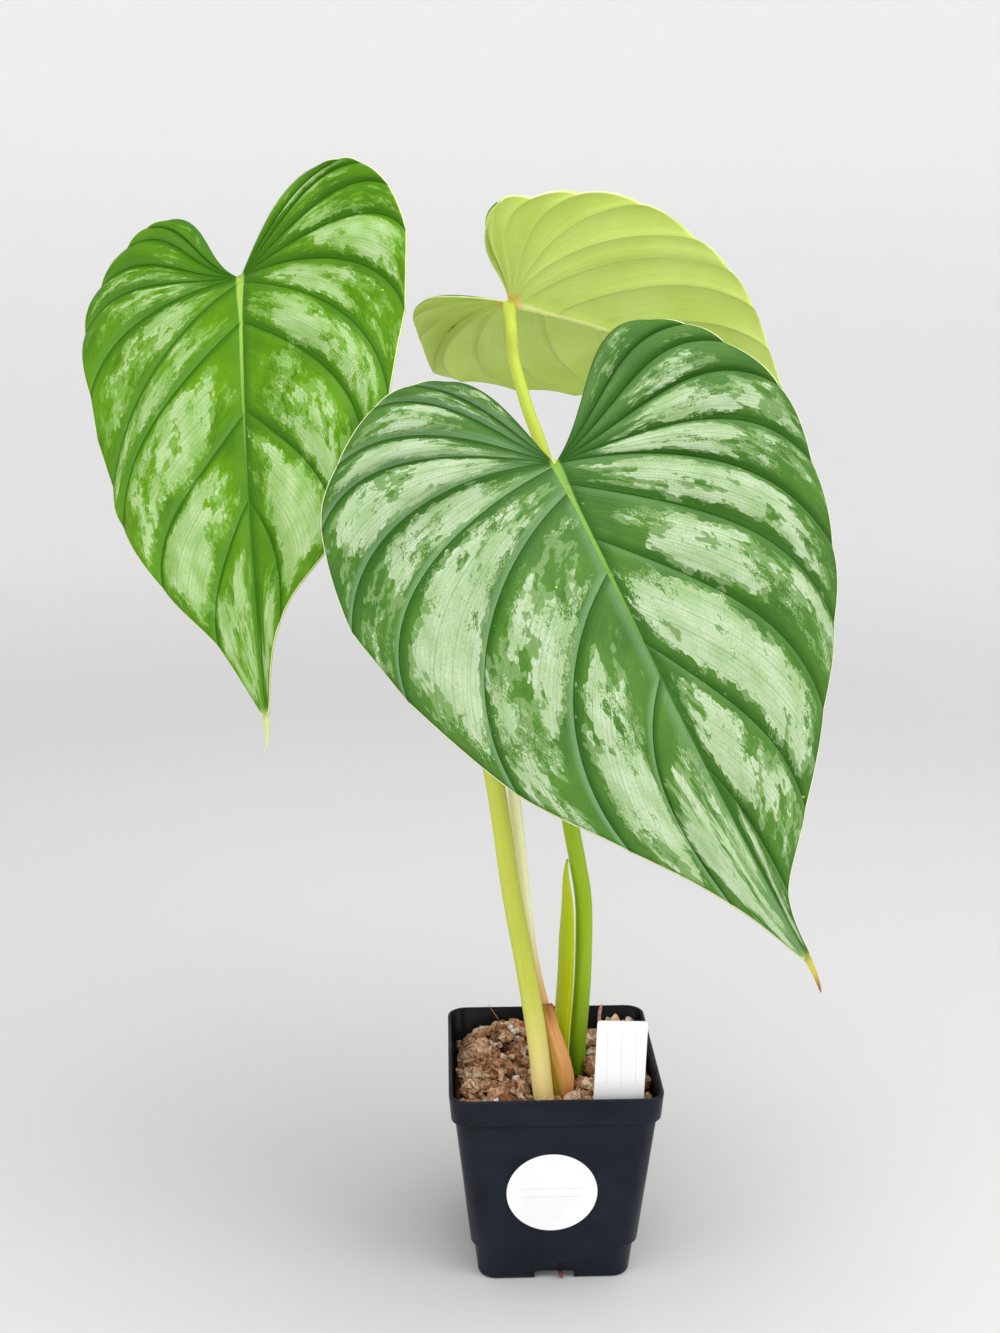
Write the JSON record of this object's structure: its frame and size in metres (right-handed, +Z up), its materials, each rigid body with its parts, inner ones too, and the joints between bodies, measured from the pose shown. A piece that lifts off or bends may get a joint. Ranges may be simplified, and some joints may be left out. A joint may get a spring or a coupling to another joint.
{
  "type": "potted philodendron",
  "caption": "Young philodendron with large pleated heart-shaped leaves on long petioles, in a square tapered nursery pot of bark mix.",
  "frame": {"origin": "centre of the pot's underside, on the surface it stands on", "axes": "+Z up, -Y towards the front of the pot with its sticker, +X to the right seen from the front"},
  "size_m": [0.3247, 0.2478, 0.464],
  "materials": {
    "pot": "satin moulded plastic",
    "substrate": "rough bark and coir chips",
    "rhizome": "matte",
    "brown_sheath": "dry papery",
    "green_sheath": "smooth leaf skin",
    "plant_label": "matte",
    "sticker": "matte paper",
    "blade_left": "satin leaf",
    "petiole_left": "smooth",
    "blade_front": "satin leaf",
    "petiole_front": "smooth",
    "blade_back": "matte leaf underside",
    "petiole_back": "smooth"
  },
  "bodies": {
    "root": {"pot": "pot", "substrate": "substrate", "rhizome": "rhizome", "brown_sheath": "brown_sheath", "green_sheath": "green_sheath", "plant_label": "plant_label", "sticker": "sticker", "blade_left": "blade_left", "petiole_left": "petiole_left", "blade_front": "blade_front", "petiole_front": "petiole_front", "blade_back": "blade_back", "petiole_back": "petiole_back"}
  },
  "joints": []
}
